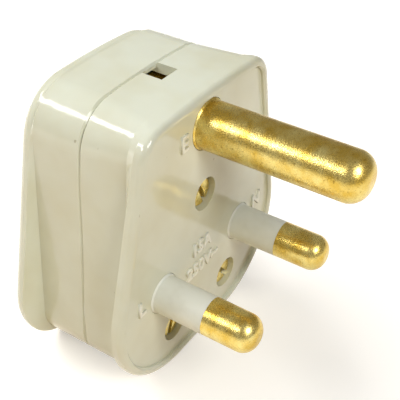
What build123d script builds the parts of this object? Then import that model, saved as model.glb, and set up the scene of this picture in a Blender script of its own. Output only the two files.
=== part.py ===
"""Rewirable 15 A round pin plug: two moulded halves, three brass pins, their screws and the cord grip.

Frame, in millimetres: the origin is halfway between the live and neutral pins on the pin face,
+X is to the right for someone facing the pins, +Y runs into the plug, away from the pins, and
+Z is up, towards the earth pin.
"""

from build123d import *
import os

# Pins, to the standard sizes for a 15 A plug
EARTH_DIAMETER = 8.71
EARTH_REACH = 28.6            # beyond the lip of the pin face
EARTH_DOME = 3.4
LINE_DIAMETER = 7.06          # live and neutral
LINE_REACH = 18.6             # beyond the lip of the pin face
LINE_DOME = 2.85
LINE_SPACING = 25.4           # live to neutral
EARTH_HEIGHT = 28.58          # earth axis above the live and neutral axes
SLEEVE_REACH = 9.9            # sleeve end, out from the pin face
SLEEVE_WALL = 0.8
ROOT_COLLAR = 0.25            # root of a pin or sleeve, thicker all round, inside the face wall

# Outlines of the body: height of the crown and foot, half widths at the corners, corner radii
RIM_TOP = 35.4
RIM_FOOT = -19.3
RIM_TOP_HALF = 18.3
RIM_FOOT_HALF = 30.6
RIM_TOP_RADIUS = 5.5
RIM_FOOT_RADIUS = 18.0
SHOULDER_TOP = 35.35           # front end of the waist, just behind the front flange
SHOULDER_TOP_HALF = 18.3
SHOULDER_TOP_RADIUS = 5.8
WAIST_TOP = 35.35
WAIST_FOOT = -18.5
WAIST_TOP_HALF = 18.4
WAIST_FOOT_HALF = 20.9
WAIST_TOP_RADIUS = 8.0
WAIST_FOOT_RADIUS = 7.5
BACK_TOP = 35.5
BACK_FOOT = -18.9
BACK_TOP_HALF = 17.4
BACK_FOOT_HALF = 27.9
BACK_TOP_RADIUS = 10.6
BACK_FOOT_RADIUS = 12.8
CROWN_BOW = 0.9               # how far the top edge bows up between its corners
FOOT_BOW = 0.5

# Depths of the body along Y, one after another
LIP_RISE = 0.8                # the pin face lies this far behind its raised lip
FRONT_LAND = 1.3              # pin face to the back edge of the front flange's rim
FRONT_FLARE = 1.6
BASE_DEPTH = 12.2             # pin face to the parting plane
COVER_WAIST = 9.7
BACK_FLARE = 0.5
BACK_LAND = 2.6

# Edges of the mouldings
LIP_WIDTH = 1.75
LIP_OUTER_ROUND = 1.2
LIP_INNER_BEVEL = 0.35
BACK_ROUND = 2.2
PARTING_BEVEL = 0.35

# Walls and joints inside
WALL = 1.9
FACE_THICKNESS = 3.6
BACK_THICKNESS = 2.2
TONGUE_WIDTH = 0.8
TONGUE_HEIGHT = 1.0
RIB = 1.3

# Notch in the top wall, at the parting plane
NOTCH_WIDTH = 4.6
NOTCH_DEPTH = 4.4

# Cord way and cord grip
CORD_WAY = 10.0               # diameter of the cord entry
CORD_MOUTH = 0.8              # bevel of its mouth
GRIP_SPACING = 18.0           # between the two grip screws
GRIP_DROP = 10.8              # grip screws below the live and neutral axes
GRIP_WIDTH = 7.0
GRIP_FOOT_THICKNESS = 4.0
GRIP_FOOT_END = 4.0           # foot beyond the screw axis
GRIP_BRIDGE = 2.0
GRIP_BOSS_HEIGHT = 7.2        # above the inside of the face wall
SADDLE_RIB_GAP = 3.4          # between the two ribs under the cord

# Cover screw
COVER_SCREW_HEIGHT = 14.2     # above the live and neutral axes
COVER_BOSS_HEIGHT = 6.8       # above the inside of the face wall
COVER_BOSS_GAP = 0.6          # between the retainer and the cover's boss
INSERT_DIAMETER = 6.2
INSERT_LENGTH = 7.0
RETAINER_DIAMETER = 7.2
RETAINER_THICKNESS = 0.8

# Screws
BOSS_DIAMETER = 8.8
COUNTERBORE_DIAMETER = 6.5
HEAD_DIAMETER = 5.8
HEAD_THICKNESS = 2.1
HEAD_SINK = 2.1               # top of a screw head below the pin face
COVER_SCREW_DIAMETER = 3.9
GRIP_SCREW_DIAMETER = 3.4
SLOT_WIDTH = 1.0
SLOT_DEPTH = 1.0
NUT_ACROSS_FLATS = 6.0
NUT_THICKNESS = 2.4
SCREW_OVERRUN = 1.0           # screw end past its nut

# Terminals on the inner ends of the pins
TERMINAL_LENGTH = 10.0
EARTH_TERMINAL_WIDTH = 10.0
EARTH_TERMINAL_HEIGHT = 8.4
LINE_TERMINAL_WIDTH = 8.6
WIRE_HOLE = 3.4
WIRE_HOLE_DEPTH = 4.2         # wire hole axis from the seat of the terminal
TERMINAL_SCREW_DIAMETER = 3.6
TERMINAL_HEAD_DIAMETER = 4.8
TERMINAL_HEAD_THICKNESS = 1.8
TERMINAL_HEAD_GAP = 0.3       # head to terminal, with the screw run down
POCKET_HEIGHT = 6.0

# Clearances
PIN_FIT = 0.1                 # round a pin or sleeve in its hole
SCREW_FIT = 0.2               # round a screw in a plain hole
THREAD_FIT = 0.05             # round a screw in its thread
SEAT_FIT = 0.1                # beside a piece in its pocket
TONGUE_FIT = 0.1

# Places worked out from the sizes above
FLARE_END = FRONT_LAND + FRONT_FLARE
WAIST_END = BASE_DEPTH + COVER_WAIST
BACK_START = WAIST_END + BACK_FLARE
BACK_FACE = BACK_START + BACK_LAND
COVER_FLOOR = BACK_FACE - BACK_THICKNESS
HEAD_SEAT = HEAD_SINK + HEAD_THICKNESS
NECK_DIAMETER = LINE_DIAMETER - 2 * SLEEVE_WALL
GRIP_SEAT = FACE_THICKNESS + GRIP_BOSS_HEIGHT
RETAINER_SEAT = FACE_THICKNESS + COVER_BOSS_HEIGHT
COVER_BOSS_END = RETAINER_SEAT + RETAINER_THICKNESS + COVER_BOSS_GAP
INSERT_END = COVER_BOSS_END + INSERT_LENGTH
TERMINAL_END = FACE_THICKNESS + TERMINAL_LENGTH
EARTH_AXIS = (0, EARTH_HEIGHT)
LIVE_AXIS = (-LINE_SPACING / 2, 0)
NEUTRAL_AXIS = (LINE_SPACING / 2, 0)
COVER_SCREW_AXIS = (0, COVER_SCREW_HEIGHT)
GRIP_LEFT_AXIS = (-GRIP_SPACING / 2, -GRIP_DROP)
GRIP_RIGHT_AXIS = (GRIP_SPACING / 2, -GRIP_DROP)
OUTSIDE = 10.0                # how far a cutting tool runs past the body
NEAR = 0.001                  # tolerance for picking edges at a depth


# Helpers that turn flat shapes into solids along the plug's depth

def at_depth(shape, depth):
    """Places a flat shape, drawn as width and height, at a depth along Y."""
    return Plane((0, depth, 0), x_dir=(1, 0, 0), z_dir=(0, -1, 0)) * shape


def slab(shape, start, end):
    """Solid with the given flat shape from one depth to another."""
    return extrude(at_depth(shape, end), amount=end - start)


def rod(axis, diameter, start, end):
    """Round bar along Y at a place given as width and height."""
    return slab(Pos(*axis) * Circle(diameter / 2), start, end)


def block(axis, width, height, start, end):
    """Square bar along Y at a place given as width and height."""
    return slab(Pos(*axis) * Rectangle(width, height), start, end)


def body_outline(top, foot, top_half, foot_half, top_radius, foot_radius):
    """Outline of the body: bowed top and foot, straight sides, two sizes of round corner."""
    top_left, top_right = (-top_half, top - CROWN_BOW), (top_half, top - CROWN_BOW)
    foot_left, foot_right = (-foot_half, foot + FOOT_BOW), (foot_half, foot + FOOT_BOW)
    sharp = make_face([
        ThreePointArc(top_left, (0, top), top_right),
        Line(top_right, foot_right),
        ThreePointArc(foot_right, (0, foot), foot_left),
        Line(foot_left, top_left),
    ])
    rounded = fillet(sharp.vertices().group_by(Axis.Y)[-1], top_radius)
    return fillet(rounded.vertices().group_by(Axis.Y)[0], foot_radius)


def rim_outline():
    """Outline of the front flange and its lip."""
    return body_outline(RIM_TOP, RIM_FOOT, RIM_TOP_HALF, RIM_FOOT_HALF, RIM_TOP_RADIUS, RIM_FOOT_RADIUS)


def shoulder_outline():
    """Outline of the waist's front end, whose top corners nearly fill the flange's."""
    return body_outline(
        SHOULDER_TOP, WAIST_FOOT, SHOULDER_TOP_HALF, WAIST_FOOT_HALF, SHOULDER_TOP_RADIUS, WAIST_FOOT_RADIUS
    )


def waist_outline():
    """Outline of the recessed waist that the fingers hold, at the parting plane and behind it."""
    return body_outline(
        WAIST_TOP, WAIST_FOOT, WAIST_TOP_HALF, WAIST_FOOT_HALF, WAIST_TOP_RADIUS, WAIST_FOOT_RADIUS
    )


def back_outline():
    """Outline of the back flange."""
    return body_outline(
        BACK_TOP, BACK_FOOT, BACK_TOP_HALF, BACK_FOOT_HALF, BACK_TOP_RADIUS, BACK_FOOT_RADIUS
    )


def cord_way(diameter, start, end):
    """Round way for the cord along Z, on the parting plane, from one height to another."""
    return Pos(0, BASE_DEPTH, (start + end) / 2) * Cylinder(diameter / 2, end - start)


def edges_at(solid, depth):
    """Edges of a solid that lie wholly at one depth."""
    return solid.edges().filter_by_position(Axis.Y, depth - NEAR, depth + NEAR)


# The two mouldings

def front_shape():
    """Outside of the base: lip, front flange, flare down to the waist, and waist wall."""
    flange = slab(rim_outline(), -LIP_RISE, FRONT_LAND)
    flare = loft([at_depth(rim_outline(), FRONT_LAND), at_depth(shoulder_outline(), FLARE_END)], ruled=True)
    waist = loft([at_depth(shoulder_outline(), FLARE_END), at_depth(waist_outline(), BASE_DEPTH)], ruled=True)
    shape = flange + flare + waist
    shape = fillet(edges_at(shape, -LIP_RISE), LIP_OUTER_ROUND)
    return chamfer(edges_at(shape, BASE_DEPTH), PARTING_BEVEL)


def rear_shape():
    """Outside of the cover: waist wall, flare, back flange and rounded back."""
    waist = slab(waist_outline(), BASE_DEPTH, WAIST_END)
    flare = loft([at_depth(waist_outline(), WAIST_END), at_depth(back_outline(), BACK_START)], ruled=True)
    flange = slab(back_outline(), BACK_START, BACK_FACE)
    shape = waist + flare + flange
    shape = fillet(edges_at(shape, BACK_FACE), BACK_ROUND)
    return chamfer(edges_at(shape, BASE_DEPTH), PARTING_BEVEL)


def pocket(axis, width, height):
    """U-shaped wall round three sides of a pin's terminal, open downwards for the wire."""
    outer_width = width + 2 * (SEAT_FIT + RIB)
    end = FACE_THICKNESS + POCKET_HEIGHT
    outer = block(axis, outer_width, height + 2 * (SEAT_FIT + RIB), FACE_THICKNESS, end)
    room_height = height + 2 * SEAT_FIT + RIB
    room_axis = (axis[0], axis[1] - RIB / 2)
    room = block(room_axis, width + 2 * SEAT_FIT, room_height, FACE_THICKNESS, end)
    return outer - room


def with_terminal_room(shell):
    """Cuts room for the terminals, so that a wall which comes near one keeps clear of it."""
    for axis, width, height in terminals():
        shell -= block(axis, width + 2 * SEAT_FIT, height + 2 * SEAT_FIT, FACE_THICKNESS, TERMINAL_END)
    return shell


def saddle_ribs():
    """Two cross ribs of the base under the cord, hollowed to the cord's curve."""
    ribs = []
    span = GRIP_SPACING - BOSS_DIAMETER
    for side in (-1, 1):
        height = -GRIP_DROP + side * (SADDLE_RIB_GAP + RIB) / 2
        rib = block((0, height), span, RIB, FACE_THICKNESS, BASE_DEPTH - CORD_WAY / 4)
        ribs.append(rib - cord_way(CORD_WAY, -GRIP_DROP - GRIP_WIDTH, -GRIP_DROP + GRIP_WIDTH))
    return ribs


def base():
    """Front moulding, which carries the pins and the cord grip."""
    room = offset(waist_outline(), -WALL)
    shell = front_shape() - slab(room, FACE_THICKNESS, BASE_DEPTH)

    # Fittings on the inside of the face wall, kept within the walls
    bosses = rod(COVER_SCREW_AXIS, BOSS_DIAMETER, FACE_THICKNESS, RETAINER_SEAT)
    for axis in (GRIP_LEFT_AXIS, GRIP_RIGHT_AXIS):
        bosses += rod(axis, BOSS_DIAMETER, FACE_THICKNESS, GRIP_SEAT)
    for rib in saddle_ribs():
        bosses += rib
    for axis, width, height in terminals():
        bosses += pocket(axis, width, height)
    shell += bosses & slab(room, FACE_THICKNESS, BASE_DEPTH)

    # Tongue along the inside of the wall, which enters the cover
    tongue_outer = offset(waist_outline(), -(WALL - TONGUE_WIDTH))
    shell += slab(tongue_outer - room, BASE_DEPTH, BASE_DEPTH + TONGUE_HEIGHT)
    shell = with_terminal_room(shell)

    # Pin face, sunk behind its lip
    face = offset(rim_outline(), -LIP_WIDTH)
    shell -= slab(face, -LIP_RISE - OUTSIDE, 0)
    land = shell.faces().filter_by_position(Axis.Y, -LIP_RISE - NEAR, -LIP_RISE + NEAR)[0]
    shell = chamfer(land.inner_wires()[0].edges(), LIP_INNER_BEVEL)

    # Holes for the pins and sleeves
    pins = ((EARTH_AXIS, EARTH_DIAMETER), (LIVE_AXIS, LINE_DIAMETER), (NEUTRAL_AXIS, LINE_DIAMETER))
    for axis, diameter in pins:
        shell -= rod(axis, diameter + 2 * (ROOT_COLLAR + PIN_FIT), -OUTSIDE, FACE_THICKNESS)

    # Counterbored holes for the three screws
    screws = (
        (COVER_SCREW_AXIS, COVER_SCREW_DIAMETER),
        (GRIP_LEFT_AXIS, GRIP_SCREW_DIAMETER),
        (GRIP_RIGHT_AXIS, GRIP_SCREW_DIAMETER),
    )
    for axis, diameter in screws:
        shell -= rod(axis, COUNTERBORE_DIAMETER, -OUTSIDE, HEAD_SEAT)
        shell -= rod(axis, diameter + 2 * SCREW_FIT, HEAD_SEAT, BASE_DEPTH)

    # Notch in the top wall and the cord entry in the foot wall
    notch = Pos(0, BASE_DEPTH - NOTCH_DEPTH / 2 + OUTSIDE / 2, WAIST_TOP) * Box(
        NOTCH_WIDTH, NOTCH_DEPTH + OUTSIDE, 4 * WALL
    )
    shell -= notch
    return with_cord_entry(shell)


def with_cord_entry(shell):
    """Cuts the round cord way and its bevelled mouth through the foot wall."""
    shell -= cord_way(CORD_WAY, WAIST_FOOT - OUTSIDE, WAIST_FOOT + 2 * WALL)
    wide, narrow = CORD_WAY / 2 + 2 * CORD_MOUTH, CORD_WAY / 2 - CORD_MOUTH
    return shell - Pos(0, BASE_DEPTH, WAIST_FOOT + CORD_MOUTH / 2) * Cone(wide, narrow, 3 * CORD_MOUTH)


def cover():
    """Rear moulding, which closes the plug and holds the pins down in their pockets."""
    room = offset(waist_outline(), -WALL)
    shell = rear_shape() - slab(room, BASE_DEPTH, COVER_FLOOR)

    # Step in the wall for the base's tongue
    step = offset(waist_outline(), -(WALL - TONGUE_WIDTH - TONGUE_FIT))
    shell -= slab(step, BASE_DEPTH, BASE_DEPTH + TONGUE_HEIGHT + TONGUE_FIT)

    # Boss with the threaded bush, and the posts that hold the terminals down
    shell += rod(COVER_SCREW_AXIS, BOSS_DIAMETER, COVER_BOSS_END, COVER_FLOOR)
    shell -= rod(COVER_SCREW_AXIS, INSERT_DIAMETER + 2 * THREAD_FIT, COVER_BOSS_END, INSERT_END)
    shell -= rod(COVER_SCREW_AXIS, COVER_SCREW_DIAMETER + 2 * SCREW_FIT, COVER_BOSS_END, COVER_FLOOR)
    shell = with_terminal_room(shell)
    for axis, width, _ in terminals():
        for side in (-1, 1):
            post_axis = (axis[0] + side * (width - RIB) / 2, axis[1])
            shell += block(post_axis, RIB, TERMINAL_HEAD_DIAMETER, TERMINAL_END, COVER_FLOOR)
    return with_cord_entry(shell)


# Pins and sleeves

def terminals():
    """Axis, width and height of each pin's terminal."""
    return (
        (EARTH_AXIS, EARTH_TERMINAL_WIDTH, EARTH_TERMINAL_HEIGHT),
        (LIVE_AXIS, LINE_TERMINAL_WIDTH, LINE_TERMINAL_WIDTH),
        (NEUTRAL_AXIS, LINE_TERMINAL_WIDTH, LINE_TERMINAL_WIDTH),
    )


def turned_pin(diameter, dome, reach, shoulder):
    """Round pin along Y with a domed end, from its tip to its shoulder."""
    tip = -LIP_RISE - reach
    pin = rod((0, 0), diameter, tip, shoulder)
    return fillet(edges_at(pin, tip), dome)


def terminal(width, height):
    """Block on the inner end of a pin, with a cross hole for the wire and a threaded hole."""
    body = chamfer(
        block((0, 0), width, height, FACE_THICKNESS, TERMINAL_END).edges().filter_by(Axis.Y), RIB / 4
    )
    wire_hole = Pos(0, FACE_THICKNESS + WIRE_HOLE_DEPTH, -height / 2) * Cylinder(WIRE_HOLE / 2, height)
    thread = rod(
        (0, 0), TERMINAL_SCREW_DIAMETER + 2 * THREAD_FIT, FACE_THICKNESS + WIRE_HOLE_DEPTH, TERMINAL_END
    )
    return body - wire_hole - thread


def root_collar(diameter):
    """Coned collar at the root of a pin or sleeve, seated in the face wall."""
    collar = rod((0, 0), diameter + 2 * ROOT_COLLAR, -ROOT_COLLAR, FACE_THICKNESS)
    return chamfer(edges_at(collar, -ROOT_COLLAR), ROOT_COLLAR - NEAR)


def earth_pin():
    """Long thick pin with a coned collar at its root, in the face wall."""
    pin = turned_pin(EARTH_DIAMETER, EARTH_DOME, EARTH_REACH, FACE_THICKNESS)
    pin += root_collar(EARTH_DIAMETER)
    return Pos(EARTH_AXIS[0], 0, EARTH_AXIS[1]) * (
        pin + terminal(EARTH_TERMINAL_WIDTH, EARTH_TERMINAL_HEIGHT)
    )


def line_pin(axis):
    """Live or neutral pin, turned down under its sleeve."""
    pin = turned_pin(LINE_DIAMETER, LINE_DOME, LINE_REACH, -SLEEVE_REACH)
    pin += rod((0, 0), NECK_DIAMETER, -SLEEVE_REACH, FACE_THICKNESS)
    return Pos(axis[0], 0, axis[1]) * (pin + terminal(LINE_TERMINAL_WIDTH, LINE_TERMINAL_WIDTH))


def sleeve(axis):
    """Insulating sleeve, flush with its pin, from the brass shoulder to the terminal."""
    tube = rod((0, 0), LINE_DIAMETER, -SLEEVE_REACH, FACE_THICKNESS) + root_collar(LINE_DIAMETER)
    tube -= rod((0, 0), NECK_DIAMETER + 2 * THREAD_FIT, -SLEEVE_REACH, FACE_THICKNESS)
    return Pos(axis[0], 0, axis[1]) * tube


# Screws and their nuts

def slotted_screw(axis, head_diameter, head_start, head_end, shank_diameter, shank_end):
    """Cheese-head screw along Y, its slot in the head's outer face."""
    outward = -1 if shank_end > head_end else 1
    outer_face = head_start if outward < 0 else head_end
    head = rod(axis, head_diameter, head_start, head_end)
    head = chamfer(edges_at(head, outer_face), SLOT_DEPTH / 4)
    slot_middle = outer_face - outward * SLOT_DEPTH / 2
    slot = block(
        axis, SLOT_WIDTH, 2 * head_diameter, slot_middle - SLOT_DEPTH / 2, slot_middle + SLOT_DEPTH / 2
    )
    shank_start = head_end if outward < 0 else head_start
    shank = rod(axis, shank_diameter, min(shank_start, shank_end), max(shank_start, shank_end))
    shank = chamfer(edges_at(shank, shank_end), shank_diameter / 10)
    return head - slot + shank


def terminal_screw(axis):
    """Screw that clamps a wire, run down from the back of the terminal."""
    head_start = TERMINAL_END + TERMINAL_HEAD_GAP
    tip = FACE_THICKNESS + WIRE_HOLE_DEPTH + THREAD_FIT
    return slotted_screw(
        axis, TERMINAL_HEAD_DIAMETER, head_start, head_start + TERMINAL_HEAD_THICKNESS,
        TERMINAL_SCREW_DIAMETER, tip,
    )


def cover_screw():
    """Screw from the pin face into the cover's threaded bush."""
    end = INSERT_END - SCREW_OVERRUN
    return slotted_screw(
        COVER_SCREW_AXIS, HEAD_DIAMETER, HEAD_SINK, HEAD_SEAT, COVER_SCREW_DIAMETER, end
    )


def cover_screw_retainer():
    """Ring on the screw's shank, behind the base's boss."""
    end = RETAINER_SEAT + RETAINER_THICKNESS
    ring = rod(COVER_SCREW_AXIS, RETAINER_DIAMETER, RETAINER_SEAT, end)
    return ring - rod(COVER_SCREW_AXIS, COVER_SCREW_DIAMETER + 2 * THREAD_FIT, RETAINER_SEAT, end)


def cover_insert():
    """Threaded brass bush in the cover's boss."""
    bush = rod(COVER_SCREW_AXIS, INSERT_DIAMETER, COVER_BOSS_END, INSERT_END)
    middle = (COVER_BOSS_END + INSERT_END) / 2
    groove = rod(COVER_SCREW_AXIS, BOSS_DIAMETER, middle - RIB / 2, middle + RIB / 2) - rod(
        COVER_SCREW_AXIS, INSERT_DIAMETER - RIB / 2, middle - RIB / 2, middle + RIB / 2
    )
    return bush - groove - rod(
        COVER_SCREW_AXIS, COVER_SCREW_DIAMETER + 2 * THREAD_FIT, COVER_BOSS_END, INSERT_END
    )


def grip_bar():
    """Saddle over the cord: two feet on the base's bosses, an arch between them, pockets for the nuts."""
    foot_end = GRIP_SEAT + GRIP_FOOT_THICKNESS
    half_length = GRIP_SPACING / 2 + GRIP_FOOT_END
    bar = block((0, -GRIP_DROP), 2 * half_length, GRIP_WIDTH, GRIP_SEAT, foot_end)
    low, high = -GRIP_DROP - GRIP_WIDTH / 2, -GRIP_DROP + GRIP_WIDTH / 2
    arch_top = cord_way(CORD_WAY + 2 * GRIP_BRIDGE, low, high)
    bar += arch_top & block((0, -GRIP_DROP), CORD_WAY + 2 * GRIP_BRIDGE, GRIP_WIDTH, GRIP_SEAT, BACK_FACE)
    bar -= cord_way(CORD_WAY, low, high)
    bar = fillet(bar.edges().filter_by(Axis.Y), RIB / 2)
    pocket_start = foot_end - NUT_THICKNESS
    for axis, diameter in ((GRIP_LEFT_AXIS, GRIP_SCREW_DIAMETER), (GRIP_RIGHT_AXIS, GRIP_SCREW_DIAMETER)):
        bar -= rod(axis, diameter + 2 * SCREW_FIT, GRIP_SEAT, foot_end)
        bar -= slab(nut_outline(axis, SEAT_FIT), pocket_start, foot_end)
    return bar


def nut_outline(axis, clearance):
    """Hexagon of the grip nuts, with a clearance beside each flat."""
    return Pos(*axis) * RegularPolygon(NUT_ACROSS_FLATS / 2 + clearance, 6, major_radius=False)


def grip_screw(axis):
    """Screw from the pin face through the base and the saddle."""
    end = GRIP_SEAT + GRIP_FOOT_THICKNESS + SCREW_OVERRUN
    return slotted_screw(axis, HEAD_DIAMETER, HEAD_SINK, HEAD_SEAT, GRIP_SCREW_DIAMETER, end)


def grip_nut(axis):
    """Hexagon nut in its pocket in the saddle."""
    end = GRIP_SEAT + GRIP_FOOT_THICKNESS
    nut = slab(nut_outline(axis, 0), end - NUT_THICKNESS, end)
    return nut - rod(axis, GRIP_SCREW_DIAMETER + 2 * THREAD_FIT, end - NUT_THICKNESS, end)


def main():
    """Builds each piece and writes it to its own file."""
    pieces = {
        "base": base(),
        "cover": cover(),
        "earth_pin": earth_pin(),
        "live_pin": line_pin(LIVE_AXIS),
        "neutral_pin": line_pin(NEUTRAL_AXIS),
        "live_sleeve": sleeve(LIVE_AXIS),
        "neutral_sleeve": sleeve(NEUTRAL_AXIS),
        "earth_terminal_screw": terminal_screw(EARTH_AXIS),
        "live_terminal_screw": terminal_screw(LIVE_AXIS),
        "neutral_terminal_screw": terminal_screw(NEUTRAL_AXIS),
        "cover_screw": cover_screw(),
        "cover_screw_retainer": cover_screw_retainer(),
        "cover_insert": cover_insert(),
        "cord_grip_bar": grip_bar(),
        "cord_grip_screw_left": grip_screw(GRIP_LEFT_AXIS),
        "cord_grip_screw_right": grip_screw(GRIP_RIGHT_AXIS),
        "cord_grip_nut_left": grip_nut(GRIP_LEFT_AXIS),
        "cord_grip_nut_right": grip_nut(GRIP_RIGHT_AXIS),
    }
    os.makedirs("parts", exist_ok=True)
    for name, piece in pieces.items():
        export_step(piece, f"parts/{name}.step")


main()
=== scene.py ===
"""Looks for the round pin plug: glossy moulded halves, turned brass pins, satin sleeves and slotted screws.

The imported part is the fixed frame. This script dresses its nodes, adds the raised lettering on the pin
face, stands slotted screws in for the face screws, and sets up the floor, the lamps and the camera.
Lengths are in millimetres, apart from those of the studio, which are in metres.
"""

import logging
import math
from dataclasses import dataclass, field
from enum import Enum

import bmesh
import bpy
from mathutils import Matrix, Quaternion, Vector


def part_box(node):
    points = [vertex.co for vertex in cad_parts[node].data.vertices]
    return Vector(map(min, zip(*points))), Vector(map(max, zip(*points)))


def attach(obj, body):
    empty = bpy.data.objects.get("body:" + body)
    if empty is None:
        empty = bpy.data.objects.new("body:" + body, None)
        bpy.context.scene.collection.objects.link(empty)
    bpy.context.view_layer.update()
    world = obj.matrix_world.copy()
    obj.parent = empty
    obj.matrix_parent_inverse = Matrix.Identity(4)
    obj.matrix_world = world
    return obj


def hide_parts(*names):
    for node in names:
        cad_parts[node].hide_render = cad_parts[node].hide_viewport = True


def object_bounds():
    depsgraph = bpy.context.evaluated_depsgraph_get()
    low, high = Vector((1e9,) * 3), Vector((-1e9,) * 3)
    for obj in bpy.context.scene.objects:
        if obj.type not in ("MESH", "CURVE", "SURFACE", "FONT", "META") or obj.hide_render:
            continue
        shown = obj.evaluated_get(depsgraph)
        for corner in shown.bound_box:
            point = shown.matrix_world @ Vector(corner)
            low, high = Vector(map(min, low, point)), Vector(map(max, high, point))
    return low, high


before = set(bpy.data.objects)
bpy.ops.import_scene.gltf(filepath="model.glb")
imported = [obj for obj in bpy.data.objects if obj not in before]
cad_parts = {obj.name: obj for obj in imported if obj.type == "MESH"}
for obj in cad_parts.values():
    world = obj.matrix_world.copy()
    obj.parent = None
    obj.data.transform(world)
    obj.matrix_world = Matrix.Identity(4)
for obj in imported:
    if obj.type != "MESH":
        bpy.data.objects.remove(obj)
CAD_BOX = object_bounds()

MM = 0.001
ROOT_BODY = "root"

log = logging.getLogger("round_pin_plug")

# Sockets of Blender's Mix node for colours, by number, because their names repeat
MIX_AMOUNT, MIX_GROUND, MIX_TINT, MIX_RESULT = 0, 6, 7, 2

# Radians that Blender's wave texture turns in a metre at a scale of 1
WAVE_RADIANS = 20

# Decimals of a metre down to a nanometre
NANOMETRE_PLACES = 9


class Ray(Enum):
    """Rays by which a surface is seen, as Light Path names them."""

    EYE = "Is Camera Ray"
    MIRRORED = "Is Glossy Ray"
    THROUGH_GLASS = "Is Transmission Ray"


def linear(hex_colour: str) -> tuple[float, float, float, float]:
    """Turns an sRGB hex colour into linear light.

    Args:
        hex_colour: Six hex digits, with or without a leading hash.

    Returns:
        Red, green, blue and an alpha of 1, in linear light.
    """
    digits = hex_colour.lstrip("#")
    channels = [int(digits[i : i + 2], 16) / 255 for i in (0, 2, 4)]

    # The sRGB curve: a straight toe, then a power
    light = [c / 12.92 if c <= 0.04045 else ((c + 0.055) / 1.055) ** 2.4 for c in channels]
    return (*light, 1.0)


def add_node(
    tree: bpy.types.NodeTree, kind: str, inputs: dict | None = None, **settings: object
) -> bpy.types.Node:
    """Adds a node with its settings, values and links.

    Args:
        tree: Node tree that gets the node.
        kind: Blender's name for the node's type.
        inputs: Value or linked output for each input, by the input's name or number.
        **settings: Attributes of the node, set before its inputs.

    Returns:
        The new node.
    """
    node = tree.nodes.new(kind)
    for name, value in settings.items():
        setattr(node, name, value)
    for name, value in (inputs or {}).items():
        socket = node.inputs[name]
        if isinstance(value, bpy.types.NodeSocket):
            tree.links.new(value, socket)
        else:
            socket.default_value = value
    return node


@dataclass(frozen=True)
class Mottle:
    """Uneven patches of a real size, drawn by noise.

    Attributes:
        grain_mm: Size of one patch.
        detail: Octaves of finer grain.
        fade: Noise values between which a patch fades in.
        amounts: What it gives between the patches and in them.
    """

    grain_mm: float
    detail: float
    fade: tuple[float, float]
    amounts: tuple[float, float] = (0.0, 1.0)

    def spread(self, tree: bpy.types.NodeTree, place: bpy.types.NodeSocket) -> bpy.types.NodeSocket:
        """Spreads the patches over a surface.

        Args:
            tree: Node tree that gets them.
            place: Coordinates in metres.

        Returns:
            The amount at each place.
        """
        noise = add_node(
            tree,
            "ShaderNodeTexNoise",
            {"Vector": place, "Scale": 1 / (self.grain_mm * MM), "Detail": self.detail},
        )
        ends = dict(zip(("From Min", "From Max", "To Min", "To Max"), self.fade + self.amounts))
        held = add_node(tree, "ShaderNodeMapRange", {"Value": noise.outputs["Fac"], **ends})
        return held.outputs["Result"]


@dataclass(frozen=True)
class Tint:
    """Patches of a second colour.

    Attributes:
        colour: Colour of the patches.
        patches: Where they lie, and how much of the colour they have.
    """

    colour: str
    patches: Mottle

    def over(
        self,
        tree: bpy.types.NodeTree,
        place: bpy.types.NodeSocket,
        ground: bpy.types.NodeSocket | tuple[float, ...],
    ) -> bpy.types.NodeSocket:
        """Lays the patches over a ground.

        Args:
            tree: Node tree that gets them.
            place: Coordinates in metres.
            ground: Colour under them.

        Returns:
            The mixed colour.
        """
        inputs = {
            MIX_AMOUNT: self.patches.spread(tree, place),
            MIX_GROUND: ground,
            MIX_TINT: linear(self.colour),
        }
        return add_node(tree, "ShaderNodeMix", inputs, data_type="RGBA").outputs[MIX_RESULT]


@dataclass(frozen=True)
class Relief:
    """Shallow uneven relief, drawn by noise.

    Attributes:
        grain_mm: Size of one bump or ring.
        detail: Octaves of finer grain.
        depth_mm: From its lowest to its highest.
        strength: Share of that depth that is shaded.
    """

    grain_mm: float
    detail: float
    depth_mm: float
    strength: float

    def over(
        self, tree: bpy.types.NodeTree, place: bpy.types.NodeSocket, ground: dict[str, bpy.types.NodeSocket]
    ) -> bpy.types.NodeSocket:
        """Lays the relief over what is under it.

        Args:
            tree: Node tree that gets it.
            place: Coordinates in metres.
            ground: The normal under it, or nothing for the bare surface.

        Returns:
            The normal of the relief.
        """
        grain = add_node(
            tree,
            "ShaderNodeTexNoise",
            {"Vector": place, "Scale": 1 / (self.grain_mm * MM), "Detail": self.detail},
        )
        inputs = {"Strength": self.strength, "Distance": self.depth_mm * MM, **ground}
        bump = add_node(tree, "ShaderNodeBump", {"Height": grain.outputs["Fac"], **inputs})
        return bump.outputs["Normal"]


@dataclass(frozen=True)
class TurningMarks(Relief):
    """Fine rings round Y, as a lathe tool leaves them.

    Attributes:
        waver: How far the rings stray from true.
    """

    waver: float = 0.8

    def over(
        self, tree: bpy.types.NodeTree, place: bpy.types.NodeSocket, ground: dict[str, bpy.types.NodeSocket]
    ) -> bpy.types.NodeSocket:
        """Lays the rings over what is under them.

        Args:
            tree: Node tree that gets them.
            place: Coordinates in metres.
            ground: The normal under them, or nothing for the bare surface.

        Returns:
            The normal of the rings.
        """
        scale = math.tau / (WAVE_RADIANS * self.grain_mm * MM)
        rings = add_node(
            tree,
            "ShaderNodeTexWave",
            {"Vector": place, "Scale": scale, "Distortion": self.waver, "Detail": self.detail},
            wave_type="BANDS",
            bands_direction="Y",
        )
        inputs = {"Strength": self.strength, "Distance": self.depth_mm * MM, **ground}
        bump = add_node(tree, "ShaderNodeBump", {"Height": rings.outputs["Fac"], **inputs})
        return bump.outputs["Normal"]


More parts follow.
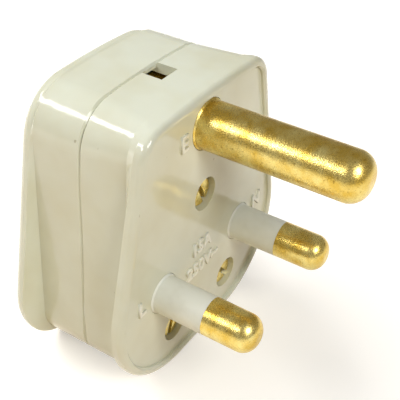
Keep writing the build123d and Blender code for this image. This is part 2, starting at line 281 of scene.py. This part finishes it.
@dataclass(frozen=True)
class Finish:
    """A finish: one procedural material, read on Object coordinates.

    Attributes:
        name: Name of the material.
        colour: Its ground colour.
        tints: Patches of other colours, each over the one before.
        shine: Roughness.
        reliefs: Relief, each over the one before.
        body: What is the same all over it, by the shader's names.
    """

    name: str
    colour: str
    tints: tuple[Tint, ...]
    shine: Mottle
    reliefs: tuple[Relief, ...]
    body: tuple[tuple[str, float | tuple[float, ...]], ...]

    def material(self) -> bpy.types.Material:
        """Makes the material the first time it is asked for.

        Returns:
            The material.
        """
        made = bpy.data.materials.get(self.name)
        if made:
            return made
        made = bpy.data.materials.new(self.name)
        made.use_nodes = True
        tree = made.node_tree
        tree.nodes.clear()
        place = add_node(tree, "ShaderNodeTexCoord").outputs["Object"]

        colour = linear(self.colour)
        for tint in self.tints:
            colour = tint.over(tree, place, colour)
        ground = {}
        for relief in self.reliefs:
            ground = {"Normal": relief.over(tree, place, ground)}

        inputs = {"Base Color": colour, "Roughness": self.shine.spread(tree, place), **ground}
        shader = add_node(tree, "ShaderNodeBsdfPrincipled", {**dict(self.body), **inputs})
        add_node(tree, "ShaderNodeOutputMaterial", {"Surface": shader.outputs["BSDF"]})
        return made


# Where the resin is warmer, and where specks of filler show
RESIN_CLOUDS = Mottle(grain_mm=14.0, detail=3.0, fade=(0.4, 0.65))
FILLER_SPECKS = Tint(
    "#8C8160", Mottle(grain_mm=1.6, detail=1.0, fade=(0.79, 0.83), amounts=(0.0, 0.5))
)


@dataclass(frozen=True)
class GlossyUrea(Finish):
    """Urea-formaldehyde, compression moulded.

    It is a warm ivory with slow clouds and rare specks, and hard and glossy, so lamps mirror in it with
    crisp edges. The mould leaves a faint wave and a fine skin, and handling leaves dull scuffs.
    """

    name: str = "urea_formaldehyde_moulded_ivory"
    colour: str = "#D9DBC8"
    tints: tuple[Tint, ...] = (Tint("#D3D2B9", RESIN_CLOUDS), FILLER_SPECKS)
    shine: Mottle = Mottle(grain_mm=1.3, detail=5.0, fade=(0.5, 0.72), amounts=(0.11, 0.2))
    # A slow wave from the mould, and a skin a third as wide as the scuffs
    reliefs: tuple[Relief, ...] = (
        Relief(grain_mm=5.0, detail=1.0, depth_mm=0.11, strength=0.7),
        Relief(grain_mm=1.3 / 3, detail=2.0, depth_mm=0.02, strength=0.12),
    )
    body: tuple[tuple[str, float | tuple[float, ...]], ...] = (
        ("IOR", 1.55),
        ("Subsurface Weight", 0.12),
        ("Subsurface Radius", (1.0, 0.8, 0.5)),
        ("Subsurface Scale", 0.6 * MM),
    )


@dataclass(frozen=True)
class PaintedHighlightUrea(GlossyUrea):
    """Urea-formaldehyde on raised lettering: paler than the face as a painted highlight on the letters, and
    duller.
    """

    name: str = "urea_formaldehyde_lettering_painted_highlight"
    colour: str = "#EAEADD"
    tints: tuple[Tint, ...] = (Tint("#E3E2D1", RESIN_CLOUDS), FILLER_SPECKS)
    shine: Mottle = Mottle(grain_mm=1.3, detail=5.0, fade=(0.5, 0.72), amounts=(0.16, 0.3))


# Noise values between which brass turns paler with polish, and between which it turns dark with tarnish,
# and how much of the tarnish shows there
POLISH_FADE = (0.35, 0.68)
TARNISH_FADE = (0.6, 0.74)
TARNISH_AMOUNTS = (0.0, 0.7)


@dataclass(frozen=True)
class TurnedBrass(Finish):
    """Free-cutting brass, turned and barrel polished.

    It is golden, in pale and deep patches with tarnished specks, and its fine tumbled grain breaks up what
    it mirrors.
    """

    name: str = "brass_turned_pins"
    colour: str = "#D6B350"
    tints: tuple[Tint, ...] = (
        Tint("#EDD98A", Mottle(grain_mm=2.6, detail=4.0, fade=POLISH_FADE)),
        Tint(
            "#9A7A30",
            Mottle(grain_mm=0.5, detail=4.0, fade=TARNISH_FADE, amounts=TARNISH_AMOUNTS),
        ),
    )
    shine: Mottle = Mottle(grain_mm=0.22, detail=3.0, fade=(0.3, 0.7), amounts=(0.2, 0.38))
    # Turning marks, drawn coarser than the real ones so that they show, under the grain from tumbling
    reliefs: tuple[Relief, ...] = (
        TurningMarks(grain_mm=0.45, detail=2.0, depth_mm=0.01, strength=0.12),
        Relief(grain_mm=0.22, detail=3.0, depth_mm=0.026, strength=1.0),
    )
    body: tuple[tuple[str, float | tuple[float, ...]], ...] = (("Metallic", 1.0),)


@dataclass(frozen=True)
class MachinedBrass(TurnedBrass):
    """Brass wire, headed and slotted for screws, with wider and darker tarnish than the pins."""

    name: str = "brass_machined_screws"
    colour: str = "#D8BC5E"
    tints: tuple[Tint, ...] = (
        Tint("#EEDD90", Mottle(grain_mm=1.2, detail=4.0, fade=POLISH_FADE)),
        Tint(
            "#6A5118",
            Mottle(grain_mm=0.9, detail=4.0, fade=TARNISH_FADE, amounts=TARNISH_AMOUNTS),
        ),
    )


# Where nylon is handled
HANDLED = Mottle(grain_mm=4.0, detail=4.0, fade=(0.45, 0.75), amounts=(0.0, 0.6))


@dataclass(frozen=True)
class SatinNylon(Finish):
    """Nylon, injection moulded round the pin.

    It is a cool grey-white that light enters a little, satin with fine scuffs, and duller where handled.
    """

    name: str = "nylon_moulded_sleeves"
    colour: str = "#F0F2E8"
    tints: tuple[Tint, ...] = (Tint("#DFE0D2", HANDLED),)
    shine: Mottle = Mottle(grain_mm=0.6, detail=4.0, fade=(0.35, 0.7), amounts=(0.42, 0.58))
    reliefs: tuple[Relief, ...] = (Relief(grain_mm=0.6, detail=4.0, depth_mm=0.02, strength=0.2),)
    body: tuple[tuple[str, float | tuple[float, ...]], ...] = (
        ("IOR", 1.53),
        ("Subsurface Weight", 0.25),
        ("Subsurface Radius", (1.0, 0.95, 0.85)),
        ("Subsurface Scale", 0.8 * MM),
    )


@dataclass(frozen=True)
class SatinMoulding(SatinNylon):
    """Nylon, injection moulded for the cord grip: satin and off-white."""

    name: str = "nylon_moulded_cord_grip"
    colour: str = "#C9C5B4"
    tints: tuple[Tint, ...] = (Tint("#B2AC96", HANDLED),)


def dress(finish: Finish, nodes: tuple[str, ...]) -> None:
    """Puts a finish on CAD nodes, in every slot they have.

    Args:
        finish: Finish to put on.
        nodes: Names of the nodes.
    """
    for name in nodes:
        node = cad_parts[name]
        if not node.material_slots:
            node.data.materials.append(finish.material())
        for slot in node.material_slots:
            slot.material = finish.material()
        log.info("dressed %s with %s", name, finish.name)


def settle(shape: bmesh.types.BMesh) -> None:
    """Puts a mesh in order of place, because spinning leaves it in another order each run.

    Args:
        shape: Mesh whose points, lines and faces are put in order.
    """
    orders = (
        (shape.verts, lambda point: point.co.to_tuple(NANOMETRE_PLACES)),
        (shape.edges, lambda line: sorted(point.index for point in line.verts)),
        (shape.faces, lambda face: sorted(point.index for point in face.verts)),
    )
    for elements, place in orders:
        ranks = {element: rank for rank, element in enumerate(sorted(elements, key=place))}
        elements.sort(key=ranks.get)
        elements.index_update()


@dataclass
class Mark:
    """Raised mark on the pin face.

    Attributes:
        name: Name of the piece.
        text: What it reads.
        across: Middle of the mark along X.
        height: Middle of the mark along Z.
        cap: Height of its capitals.
    """

    name: str
    text: str
    across: float
    height: float
    cap: float


@dataclass
class MouldedBody:
    """The two moulded halves and the marks raised on the pin face.

    Attributes:
        nodes: CAD nodes of the halves.
        rise: Height of the marks above the face.
        edge: Rounding of their edges.
        edge_steps: Extra facets across that rounding.
        weld: Distance within which their points are one.
        cap_share: Height of a capital as a share of the text's size.
        marks: The marks.
        finish: Finish of the halves.
        painted_highlight_finish: Finish of the marks.
    """

    nodes: tuple[str, ...] = ("base", "cover")
    rise: float = 0.42
    edge: float = 0.15
    edge_steps: int = 3
    weld: float = 0.001
    cap_share: float = 0.7
    marks: tuple[Mark, ...] = (
        Mark("mark_earth", "E", -7.2, 28.2, 2.9),
        Mark("mark_live", "L", -19.3, 1.3, 2.9),
        Mark("mark_neutral", "N", 19.3, 1.3, 2.9),
        Mark("mark_current", "15A", -0.9, 3.1, 2.7),
        Mark("mark_voltage", "250V~", -0.4, -1.7, 2.7),
    )
    finish: GlossyUrea = field(default_factory=GlossyUrea)
    # The marks' finish is paler than the halves': a painted highlight on the raised letters
    painted_highlight_finish: PaintedHighlightUrea = field(default_factory=PaintedHighlightUrea)

    def build(self) -> None:
        """Dresses the halves and raises the marks."""
        dress(self.finish, self.nodes)
        for mark in self.marks:
            self.raise_mark(mark)

    def raise_mark(self, mark: Mark) -> bpy.types.Object:
        """Models one mark as a raised, round-edged solid that stands on the pin face.

        Args:
            mark: What to raise and where.

        Returns:
            The mark's object.
        """
        outline = bpy.data.curves.new(mark.name, "FONT")
        outline.body = mark.text
        outline.align_x = "CENTER"
        outline.align_y = "CENTER"
        outline.size = mark.cap / self.cap_share * MM
        outline.extrude = (self.rise - self.edge) * MM
        outline.bevel_depth = self.edge * MM
        outline.bevel_resolution = self.edge_steps
        drawn = bpy.data.objects.new(mark.name + "_outline", outline)
        bpy.context.scene.collection.objects.link(drawn)
        mesh = bpy.data.meshes.new_from_object(drawn.evaluated_get(bpy.context.evaluated_depsgraph_get()))
        bpy.data.objects.remove(drawn)

        # The text is drawn flat, then stood up to face the way the pins point
        mesh.transform(Matrix.Rotation(math.radians(90), 4, "X"))
        mesh.transform(Matrix.Translation(Vector((mark.across, 0.0, mark.height)) * MM))

        # The flat fronts come apart from the rounded sides, so their seams are closed
        solid = bmesh.new()
        solid.from_mesh(mesh)
        bmesh.ops.remove_doubles(solid, verts=solid.verts, dist=self.weld * MM)
        bmesh.ops.recalc_face_normals(solid, faces=solid.faces)
        solid.to_mesh(mesh)
        solid.free()
        mesh.name = mark.name
        mesh.materials.clear()
        mesh.materials.append(self.painted_highlight_finish.material())
        piece = bpy.data.objects.new(mark.name, mesh)
        bpy.context.scene.collection.objects.link(piece)
        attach(piece, ROOT_BODY)
        log.info("raised %s, %d faces", mark.name, len(mesh.polygons))
        return piece


@dataclass
class Pins:
    """The three pins and the sleeves on the live and neutral ones."""

    brass_nodes: tuple[str, ...] = ("earth_pin", "live_pin", "neutral_pin")
    sleeve_nodes: tuple[str, ...] = ("live_sleeve", "neutral_sleeve")
    brass: TurnedBrass = field(default_factory=TurnedBrass)
    nylon: SatinNylon = field(default_factory=SatinNylon)

    def build(self) -> None:
        """Dresses the pins and sleeves."""
        dress(self.brass, self.brass_nodes)
        dress(self.nylon, self.sleeve_nodes)


@dataclass
class FaceScrew:
    """Slotted screw in the pin face, with a tall domed head that nearly fills its counterbore.

    Attributes:
        node: CAD node it stands for.
        slot_turn: Degrees the slot is turned from level.
        shank: Diameter of the shank.
        sink: Middle of the head below the pin face.
        seat: Underside of the head below the pin face.
        dome: How far the head's edge lies behind its middle.
        crown: Point of the dome between its middle and its edge, as shares of the radius and the dome.
        edge: Rounding of the head's edge.
        slot_width: Across the slot.
        slot_depth: Floor of the slot behind the head's middle.
        lead: Taper at the screw's end.
        burr: Easing of the sharp edges.
        burr_steps: Facets across that easing.
        weld: Distance within which the turned points are one.
        cutter: Length of the bar that cuts the slot, in head radii.
        steps: Sides the round parts are turned with.
        sharp: Angle in radians past which an edge is eased.
        soft: Angle in radians up to which an edge is shaded smooth.
    """

    node: str
    slot_turn: float
    shank: float
    sink: float = 0.8
    seat: float = 4.2
    dome: float = 0.12
    crown: tuple[float, float] = (0.6, 0.3)
    edge: float = 0.3
    slot_width: float = 1.0
    slot_depth: float = 1.1
    lead: float = 0.4
    burr: float = 0.08
    burr_steps: int = 2
    weld: float = 0.008
    cutter: float = 4.0
    steps: int = 64
    sharp: float = math.radians(50)
    soft: float = math.radians(35)

    def lathe(self, radius: float, tip: float) -> bmesh.types.BMesh:
        """Turns the head and shank about the screw's axis, which runs along Y.

        Args:
            radius: Of the head, in metres.
            tip: Depth of the screw's end, in metres.

        Returns:
            The closed solid, in metres.
        """
        shank = self.shank / 2 * MM
        outline = (
            (0.0, self.sink * MM),
            (self.crown[0] * radius, (self.sink + self.crown[1] * self.dome) * MM),
            (radius - self.edge * MM, (self.sink + self.dome) * MM),
            (radius, (self.sink + self.dome + self.edge) * MM),
            (radius, self.seat * MM),
            (shank, self.seat * MM),
            (shank, tip - self.lead * MM),
            (shank - self.lead * MM, tip),
            (0.0, tip),
        )
        turned = bmesh.new()
        points = [turned.verts.new((out, depth, 0.0)) for out, depth in outline]
        lines = [turned.edges.new(pair) for pair in zip(points, points[1:])]
        bmesh.ops.spin(
            turned,
            geom=points + lines,
            cent=(0.0, 0.0, 0.0),
            axis=(0.0, 1.0, 0.0),
            angle=math.tau,
            steps=self.steps,
            use_merge=True,
        )
        bmesh.ops.remove_doubles(turned, verts=turned.verts, dist=self.weld * MM)
        bmesh.ops.recalc_face_normals(turned, faces=turned.faces)
        settle(turned)
        return turned

    def slot_cutter(self, radius: float) -> bmesh.types.BMesh:
        """Makes a bar as wide as the slot, from its floor out past the head.

        Args:
            radius: Of the head, in metres.

        Returns:
            The bar, in metres.
        """
        cutter = bmesh.new()
        bmesh.ops.create_cube(cutter, size=1.0)
        size = (self.cutter * radius, 2 * self.slot_depth * MM, self.slot_width * MM)
        bmesh.ops.scale(cutter, vec=size, verts=cutter.verts)
        bmesh.ops.translate(cutter, vec=(0.0, self.sink * MM, 0.0), verts=cutter.verts)
        turn = Matrix.Rotation(math.radians(self.slot_turn), 3, "Y")
        bmesh.ops.rotate(cutter, cent=(0.0, 0.0, 0.0), matrix=turn, verts=cutter.verts)
        return cutter

    def build(self, finish: Finish) -> bpy.types.Object:
        """Models the screw where its CAD node is, and stands it in for that node.

        Args:
            finish: Finish to put on.

        Returns:
            The screw's object.
        """
        lowest, highest = (Vector(corner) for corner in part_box(self.node))
        radius = (highest.x - lowest.x) / 2
        parts = []
        for name, shape in (("turned", self.lathe(radius, highest.y)), ("cutter", self.slot_cutter(radius))):
            mesh = bpy.data.meshes.new(f"{self.node}_{name}")
            shape.to_mesh(mesh)
            shape.free()
            parts.append(bpy.data.objects.new(mesh.name, mesh))
            bpy.context.scene.collection.objects.link(parts[-1])
        turned, cutter = parts
        cut = turned.modifiers.new("slot", "BOOLEAN")
        cut.operation = "DIFFERENCE"
        cut.object = cutter
        mesh = bpy.data.meshes.new_from_object(turned.evaluated_get(bpy.context.evaluated_depsgraph_get()))
        for part in parts:
            bpy.data.objects.remove(part)

        # The slot's edges are eased, and the sharp edges that are left stay sharp in the shading
        head = bmesh.new()
        head.from_mesh(mesh)
        crisp = [
            line
            for line in head.edges
            if line.is_manifold
            and line.calc_face_angle() > self.sharp
            and line.verts[0].co.y < self.seat * MM
        ]
        bmesh.ops.bevel(
            head,
            geom=crisp,
            offset=self.burr * MM,
            affect="EDGES",
            segments=self.burr_steps,
            profile=0.5,
            material=-1,
        )
        middle = (lowest + highest) / 2
        bmesh.ops.translate(head, vec=(middle.x, 0.0, middle.z), verts=head.verts)
        for face in head.faces:
            face.smooth = True
        for line in head.edges:
            line.smooth = line.is_manifold and line.calc_face_angle() < self.soft
        head.to_mesh(mesh)
        head.free()
        mesh.name = f"{self.node}_slotted"
        mesh.materials.clear()
        mesh.materials.append(finish.material())
        piece = bpy.data.objects.new(mesh.name, mesh)
        bpy.context.scene.collection.objects.link(piece)
        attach(piece, ROOT_BODY)
        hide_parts(self.node)
        log.info("turned %s, %d faces", piece.name, len(mesh.polygons))
        return piece


@dataclass
class Fixings:
    """Screws, nuts, the threaded bush and the cord grip."""

    brass_nodes: tuple[str, ...] = (
        "earth_terminal_screw",
        "live_terminal_screw",
        "neutral_terminal_screw",
        "cover_insert",
        "cord_grip_nut_left",
        "cord_grip_nut_right",
    )
    face_screws: tuple[FaceScrew, ...] = (
        FaceScrew("cover_screw", 62.0, 3.9),
        FaceScrew("cord_grip_screw_left", 105.0, 3.4),
        FaceScrew("cord_grip_screw_right", 48.0, 3.4),
    )
    moulded_nodes: tuple[str, ...] = ("cord_grip_bar", "cover_screw_retainer")
    brass: MachinedBrass = field(default_factory=MachinedBrass)
    moulding: SatinMoulding = field(default_factory=SatinMoulding)

    def build(self) -> None:
        """Turns the face screws and dresses the other fixings."""
        for screw in self.face_screws:
            screw.build(self.brass)
        dress(self.brass, self.brass_nodes)
        dress(self.moulding, self.moulded_nodes)


@dataclass
class Softbox:
    """A square or oblong soft lamp that looks at the part.

    Attributes:
        name: Name of the lamp.
        towards: Direction from the part to the lamp.
        distance: Metres from the part.
        size: Width and height in metres.
        power: Watts.
        roll: Degrees it is turned about its own beam.
        mirrored: Whether glossy surfaces show it.
    """

    name: str
    towards: tuple[float, float, float]
    distance: float
    size: tuple[float, float]
    power: float
    roll: float = 0.0
    mirrored: bool = True

    def build(self, target: Vector) -> None:
        """Hangs the lamp and turns it to the target.

        Args:
            target: Point that it looks at.
        """
        lamp = bpy.data.lights.new(self.name, "AREA")
        lamp.shape = "RECTANGLE"
        lamp.size, lamp.size_y = self.size
        lamp.energy = self.power
        hung = bpy.data.objects.new(self.name, lamp)
        outward = Vector(self.towards).normalized()
        hung.location = target + outward * self.distance
        turn = Quaternion((0.0, 0.0, 1.0), math.radians(self.roll))
        hung.rotation_euler = (outward.to_track_quat("Z", "Y") @ turn).to_euler()
        hung.visible_glossy = self.mirrored
        bpy.context.scene.collection.objects.link(hung)
        log.info("hung %s", self.name)


@dataclass
class Studio:
    """Pale floor, soft lamps and a dim room round them.

    Attributes:
        floor_colour: Floor as it is seen.
        bounce_colour: Floor as it colours the light on the part.
        room_colour: Colour of the room.
        room_light: Strength of the light that the room gives the part.
        room_seen: Strength of the room where it is seen.
        floor_lift: Glow that the floor is seen with, over what the lamps give it.
        floor_half: Metres from the floor's middle to its sides.
        lamps: The lamps.
    """

    floor_colour: str = "#EFEBE4"
    bounce_colour: str = "#E6D0AC"
    room_colour: str = "#F2EEE6"
    room_light: float = 0.11
    room_seen: float = 0.38
    floor_lift: float = 0.38
    floor_half: float = 3.0
    lamps: tuple[Softbox, ...] = (
        Softbox("window", (-0.50, 0.52, 0.69), 0.55, (0.5, 0.055), 1.3, -5.0),
        Softbox("front_box", (-0.27, -0.70, 0.66), 0.60, (0.24, 0.24), 2.1),
        Softbox("back_fill", (0.1, 0.75, 0.65), 0.60, (0.4, 0.4), 2.5, mirrored=False),
    )

    def build(self) -> None:
        """Lays the floor, hangs the lamps and lights the room."""
        lowest, highest = (Vector(corner) for corner in CAD_BOX)
        self.lay_floor(lowest.z)
        for lamp in self.lamps:
            lamp.build((lowest + highest) / 2)
        self.light_room()
        bpy.context.scene.view_settings.view_transform = "Standard"

    def lay_floor(self, height: float) -> None:
        """Makes the floor, which the eye, metal and glass see a little paler than the lamps leave it.

        Args:
            height: Of the floor, in metres.
        """
        mesh = bpy.data.meshes.new("floor")
        plane = bmesh.new()
        bmesh.ops.create_grid(
            plane,
            x_segments=1,
            y_segments=1,
            size=self.floor_half,
            matrix=Matrix.Translation((0.0, 0.0, height)),
        )
        plane.to_mesh(mesh)
        plane.free()
        floor = bpy.data.objects.new("floor", mesh)
        bpy.context.scene.collection.objects.link(floor)

        # Matt paint: pale, even and without shine, so that only the part's soft shadow shows on it
        material = bpy.data.materials.new("painted_floor_pale")
        material.use_nodes = True
        tree = material.node_tree
        tree.nodes.clear()
        seen = self.seen(tree)
        inputs = {
            MIX_AMOUNT: seen,
            MIX_GROUND: linear(self.bounce_colour),
            MIX_TINT: linear(self.floor_colour),
        }
        colour = add_node(tree, "ShaderNodeMix", inputs, data_type="RGBA")
        paint = add_node(tree, "ShaderNodeBsdfDiffuse", {"Color": colour.outputs[MIX_RESULT]})
        lift = add_node(tree, "ShaderNodeMath", {0: seen, 1: self.floor_lift}, operation="MULTIPLY")
        glow = add_node(tree, "ShaderNodeEmission", {"Strength": lift.outputs["Value"]})
        both = add_node(tree, "ShaderNodeAddShader", {0: paint.outputs["BSDF"], 1: glow.outputs["Emission"]})
        add_node(tree, "ShaderNodeOutputMaterial", {"Surface": both.outputs["Shader"]})
        mesh.materials.append(material)
        log.info("laid floor")

    def seen(self, tree: bpy.types.NodeTree) -> bpy.types.NodeSocket:
        """Tells the rays by which the eye, metal and glass see a surface from the rest.

        Args:
            tree: Node tree that asks.

        Returns:
            1 for those rays, and 0 for the rest.
        """
        rays = add_node(tree, "ShaderNodeLightPath").outputs
        seen = rays[Ray.EYE.value]
        for ray in (Ray.MIRRORED, Ray.THROUGH_GLASS):
            either = add_node(tree, "ShaderNodeMath", {0: seen, 1: rays[ray.value]}, operation="MAXIMUM")
            seen = either.outputs["Value"]
        return seen

    def light_room(self) -> None:
        """Lights the room evenly and dimly, and shows its far wall paler than that light."""
        world = bpy.data.worlds.new("room")
        world.use_nodes = True
        tree = world.node_tree
        tree.nodes.clear()
        ends = {"To Min": self.room_light, "To Max": self.room_seen}
        strength = add_node(tree, "ShaderNodeMapRange", {"Value": self.seen(tree), **ends})
        inputs = {"Color": linear(self.room_colour), "Strength": strength.outputs["Result"]}
        air = add_node(tree, "ShaderNodeBackground", inputs)
        add_node(tree, "ShaderNodeOutputWorld", {"Surface": air.outputs["Background"]})
        bpy.context.scene.world = world


@dataclass
class Viewpoint:
    """The camera, above and to the left of the pins.

    Attributes:
        place: Where it stands.
        aim: Point that it looks at.
        roll: Degrees it is turned about its own line of sight.
        lens: Focal length.
        sensor: Width of its sensor.
    """

    place: tuple[float, float, float] = (-97.623, -59.383, 97.592)
    aim: tuple[float, float, float] = (-1.694, 0.0, 13.848)
    roll: float = 2.113
    lens: float = 72.0
    sensor: float = 36.0

    def build(self) -> None:
        """Sets up the camera and makes it the scene's."""
        camera = bpy.data.cameras.new("viewpoint")
        camera.lens = self.lens
        camera.sensor_width = self.sensor
        camera.clip_start = MM
        holder = bpy.data.objects.new("viewpoint", camera)
        place, aim = Vector(self.place) * MM, Vector(self.aim) * MM
        level = (place - aim).to_track_quat("Z", "Y").to_matrix().to_4x4()
        turn = Matrix.Rotation(math.radians(self.roll), 4, "Z")
        holder.matrix_world = Matrix.Translation(place) @ level @ turn
        bpy.context.scene.collection.objects.link(holder)
        bpy.context.scene.camera = holder
        log.info("camera %.1f mm from the pin face", (place - aim).length / MM)


def main() -> None:
    """Builds each sub-assembly and the studio in order."""
    logging.basicConfig(level=logging.INFO, format="%(name)s: %(message)s")
    MouldedBody().build()
    Pins().build()
    Fixings().build()
    Studio().build()
    Viewpoint().build()


if __name__ == "__main__":
    main()
